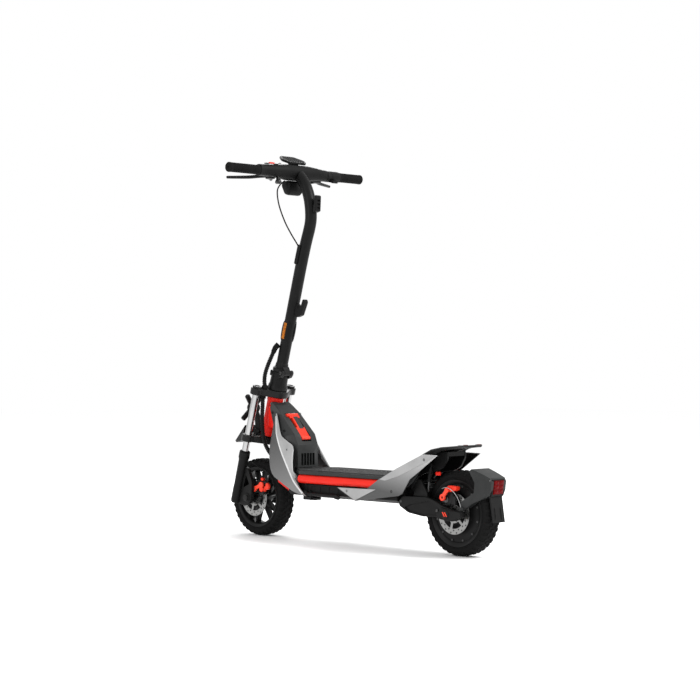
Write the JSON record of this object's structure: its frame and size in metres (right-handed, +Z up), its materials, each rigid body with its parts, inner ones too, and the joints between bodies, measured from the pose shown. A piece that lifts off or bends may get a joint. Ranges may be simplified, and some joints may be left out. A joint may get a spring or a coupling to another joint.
{
  "type": "electric kick scooter",
  "caption": "Folding electric kick scooter: telescopic fork, sprung swingarm with hub motor, disc brakes, deck with raised foot rest, hinged stem and display bar.",
  "frame": {"origin": "on the floor, under the middle of the overall length and width, wheels standing on z = 0", "axes": "+X forward towards the front wheel, +Y to the rider's left, +Z up"},
  "size_m": [1.279, 0.641, 1.3721],
  "materials": {
    "frame_red": "satin red paint",
    "matt_black": "matt black powder coat",
    "black_plastic": "fine-grained black plastic",
    "shroud_grey": "dark grey moulded plastic",
    "panel_grey": "mid grey satin panels with pale edges",
    "deck_rubber": "ribbed grey rubber",
    "accent_orange": "orange-red anodised look",
    "chrome": "polished",
    "steel": "brushed and drilled",
    "tyre": "knobbly black rubber",
    "red_lens": "faceted red lens",
    "screen": "dark screen, off",
    "battery": "shrink-wrapped cells"
  },
  "bodies": {
    "chassis": {"main_frame": "frame_red", "deck_plate": "shroud_grey", "deck_mat": "deck_rubber", "battery_tray": "black_plastic", "battery_pack": "battery", "neck_shroud": "shroud_grey", "fairing_left": "panel_grey", "fairing_right": "panel_grey", "wing_left": "panel_grey", "wing_right": "panel_grey", "kick_plate": "black_plastic", "kickstand_bracket": "matt_black", "harness_lower": "black_plastic"},
    "latch": {"latch_lever": "accent_orange"},
    "kickstand": {"kickstand_leg": "matt_black"},
    "swingarm": {"swingarm": "matt_black", "rear_axle": "steel", "rear_caliper": "matt_black", "rear_fender": "shroud_grey", "tail_light": "red_lens"},
    "rear_caliper_arm": {"rear_caliper_arm": "accent_orange"},
    "rear_wheel": {"rear_tyre": "tyre", "rear_hub_motor": "matt_black", "rear_rotor": "steel"},
    "shock_bodies": {"shock_body_left": "steel", "shock_body_right": "steel"},
    "shock_shafts": {"shock_shaft_left": "chrome", "shock_shaft_right": "chrome"},
    "steer": {"lower_crown": "matt_black", "upper_crown": "matt_black", "stanchion_left": "chrome", "stanchion_right": "chrome", "headlight": "black_plastic", "front_fender": "black_plastic", "fold_base": "matt_black"},
    "fork_lower": {"fork_leg_left": "matt_black", "fork_leg_right": "matt_black", "front_axle": "steel", "front_caliper": "matt_black"},
    "front_caliper_arm": {"front_caliper_arm": "accent_orange"},
    "front_wheel": {"front_tyre": "tyre", "front_rim": "matt_black", "front_rotor": "steel"},
    "stem": {"stem_tube": "matt_black", "handlebar": "matt_black", "bar_cover": "black_plastic", "display": "screen", "bar_light": "black_plastic", "grip_left": "black_plastic", "grip_right": "black_plastic", "stow_bracket": "black_plastic", "bag_hook": "black_plastic", "brake_cable": "black_plastic", "harness_upper": "black_plastic"},
    "brake_lever_left": {"brake_lever_left": "matt_black"},
    "brake_lever_right": {"brake_lever_right": "matt_black"},
    "throttle": {"throttle": "black_plastic"},
    "turn_switch": {"turn_switch": "accent_orange"},
    "mode_button": {"mode_button": "steel"}
  },
  "joints": [
    {"name": "steering", "type": "hinge", "parent": "chassis", "child": "steer", "pos_m": [0.4455, 0, 0.456], "axis": [-0.2756, 0, 0.9613], "range_deg": [-40, 40], "deforming": ["harness_lower"]},
    {"name": "stem_fold", "type": "hinge", "parent": "steer", "child": "stem", "pos_m": [0.37587, 0, 0.59], "axis": [0, -1, 0], "range_deg": [0, 96], "deforming": ["harness_upper"]},
    {"name": "fork_travel", "type": "slide", "parent": "steer", "child": "fork_lower", "axis": [-0.2756, 0, 0.9613], "range_m": [0, 0.035], "stiffness_N_per_m": 8000, "springref_m": -0.03},
    {"name": "front_wheel_spin", "type": "hinge", "parent": "fork_lower", "child": "front_wheel", "pos_m": [0.4995, 0, 0.14], "axis": [0, 1, 0], "continuous": true},
    {"name": "swingarm_pivot", "type": "hinge", "parent": "chassis", "child": "swingarm", "pos_m": [-0.2945, 0, 0.163], "axis": [0, 1, 0], "range_deg": [0, 8], "stiffness_Nm_per_rad": 400, "springref_deg": -8.59},
    {"name": "rear_wheel_spin", "type": "hinge", "parent": "swingarm", "child": "rear_wheel", "pos_m": [-0.4785, 0, 0.14], "axis": [0, 1, 0], "continuous": true},
    {"name": "shock_tilt", "type": "hinge", "parent": "chassis", "child": "shock_bodies", "pos_m": [-0.3875, 0, 0.292], "axis": [0, -1, 0], "range_deg": [0, 5.3]},
    {"name": "shock_stroke", "type": "slide", "parent": "shock_bodies", "child": "shock_shafts", "axis": [-0.1504, 0, 0.9886], "range_m": [0, 0.0095]},
    {"name": "latch_hinge", "type": "hinge", "parent": "chassis", "child": "latch", "pos_m": [0.3455, 0, 0.439], "axis": [0, 1, 0], "range_deg": [0, 60]},
    {"name": "kickstand_pivot", "type": "hinge", "parent": "chassis", "child": "kickstand", "pos_m": [0.1685, 0.096, 0.172], "axis": [0, -1, 0], "range_deg": [0, 80]},
    {"name": "brake_lever_left_pivot", "type": "hinge", "parent": "stem", "child": "brake_lever_left", "pos_m": [0.3605, 0.118, 1.292], "axis": [0, 0, 1], "range_deg": [0, 18], "stiffness_Nm_per_rad": 1.5, "springref_deg": -11.46},
    {"name": "brake_lever_right_pivot", "type": "hinge", "parent": "stem", "child": "brake_lever_right", "pos_m": [0.3605, -0.118, 1.292], "axis": [0, 0, -1], "range_deg": [0, 18], "stiffness_Nm_per_rad": 1.5, "springref_deg": -11.46},
    {"name": "front_caliper_arm_pivot", "type": "hinge", "parent": "fork_lower", "child": "front_caliper_arm", "pos_m": [0.4401, 0.063, 0.18751], "axis": [0, -1, 0], "range_deg": [0, 20]},
    {"name": "rear_caliper_arm_pivot", "type": "hinge", "parent": "swingarm", "child": "rear_caliper_arm", "pos_m": [-0.4755, 0.073, 0.217], "axis": [0, -1, 0], "range_deg": [0, 20]},
    {"name": "throttle_pivot", "type": "hinge", "parent": "stem", "child": "throttle", "pos_m": [0.3225, -0.17, 1.306], "axis": [0, -1, 0], "range_deg": [0, 28], "stiffness_Nm_per_rad": 0.3, "springref_deg": -17.19},
    {"name": "turn_switch_slide", "type": "slide", "parent": "stem", "child": "turn_switch", "axis": [0, 1, 0], "range_m": [-0.003, 0.003]},
    {"name": "mode_button_press", "type": "slide", "parent": "stem", "child": "mode_button", "axis": [0, 0, -1], "range_m": [0, 0.0015], "stiffness_N_per_m": 800, "springref_m": -0.001}
  ],
  "couplings": [
    {"joint": "shock_tilt", "follows": "swingarm_pivot", "ratio": 0.638},
    {"joint": "shock_stroke", "follows": "swingarm_pivot", "m_per_rad": 0.0665},
    {"joint": "front_caliper_arm_pivot", "follows": "brake_lever_left_pivot", "ratio": 1},
    {"joint": "rear_caliper_arm_pivot", "follows": "brake_lever_right_pivot", "ratio": 1}
  ]
}
